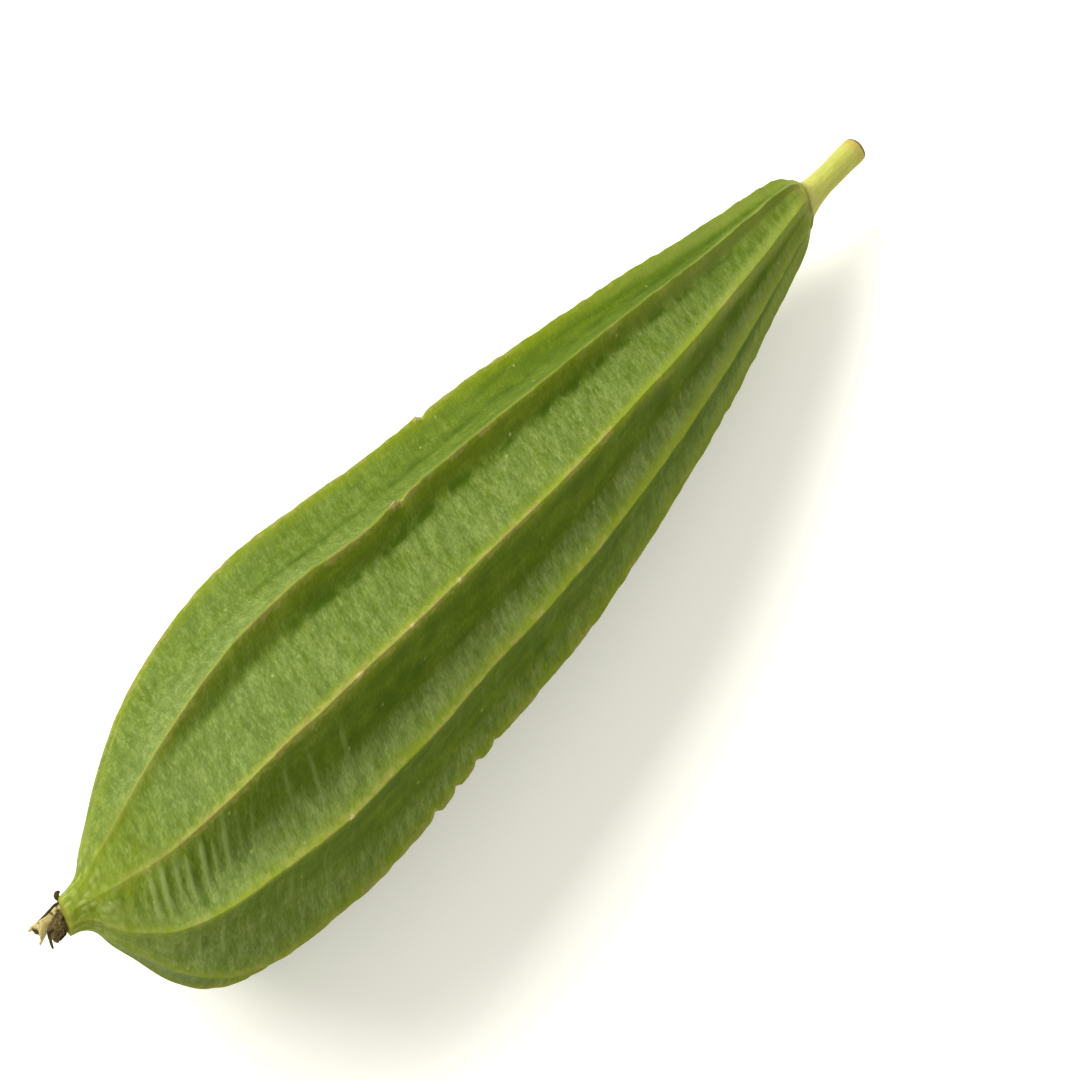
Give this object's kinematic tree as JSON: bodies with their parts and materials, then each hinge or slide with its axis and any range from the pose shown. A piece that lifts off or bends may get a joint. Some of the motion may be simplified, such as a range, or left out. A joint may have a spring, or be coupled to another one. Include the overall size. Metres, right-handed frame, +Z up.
{
  "type": "ridge gourd",
  "caption": "Whole ridge gourd, club-shaped with raised lengthwise ridges, a short cut stem and the dried flower at its other end, lying on its side.",
  "frame": {"origin": "centre of the bounding box, on the surface that the gourd lies on", "axes": "+X along the gourd from the dried flower to the stem, +Z up from the surface"},
  "size_m": [0.2744, 0.072, 0.0686],
  "materials": {
    "skin": "green rind with a soft waxy sheen, paler yellow-green to tan along the ridges",
    "stem": "pale yellow-green, finely ribbed, browned where it was cut",
    "dried_flower": "dry, papery, straw-coloured",
    "withered_petals": "dry, crumpled, dark brown"
  },
  "bodies": {
    "root": {"fruit": "skin", "stem": "stem", "floral_tube": "dried_flower", "withered_petals": "withered_petals", "sepal_strip": "withered_petals", "sepal_hook": "withered_petals", "sepal_thread": "withered_petals"}
  },
  "joints": []
}
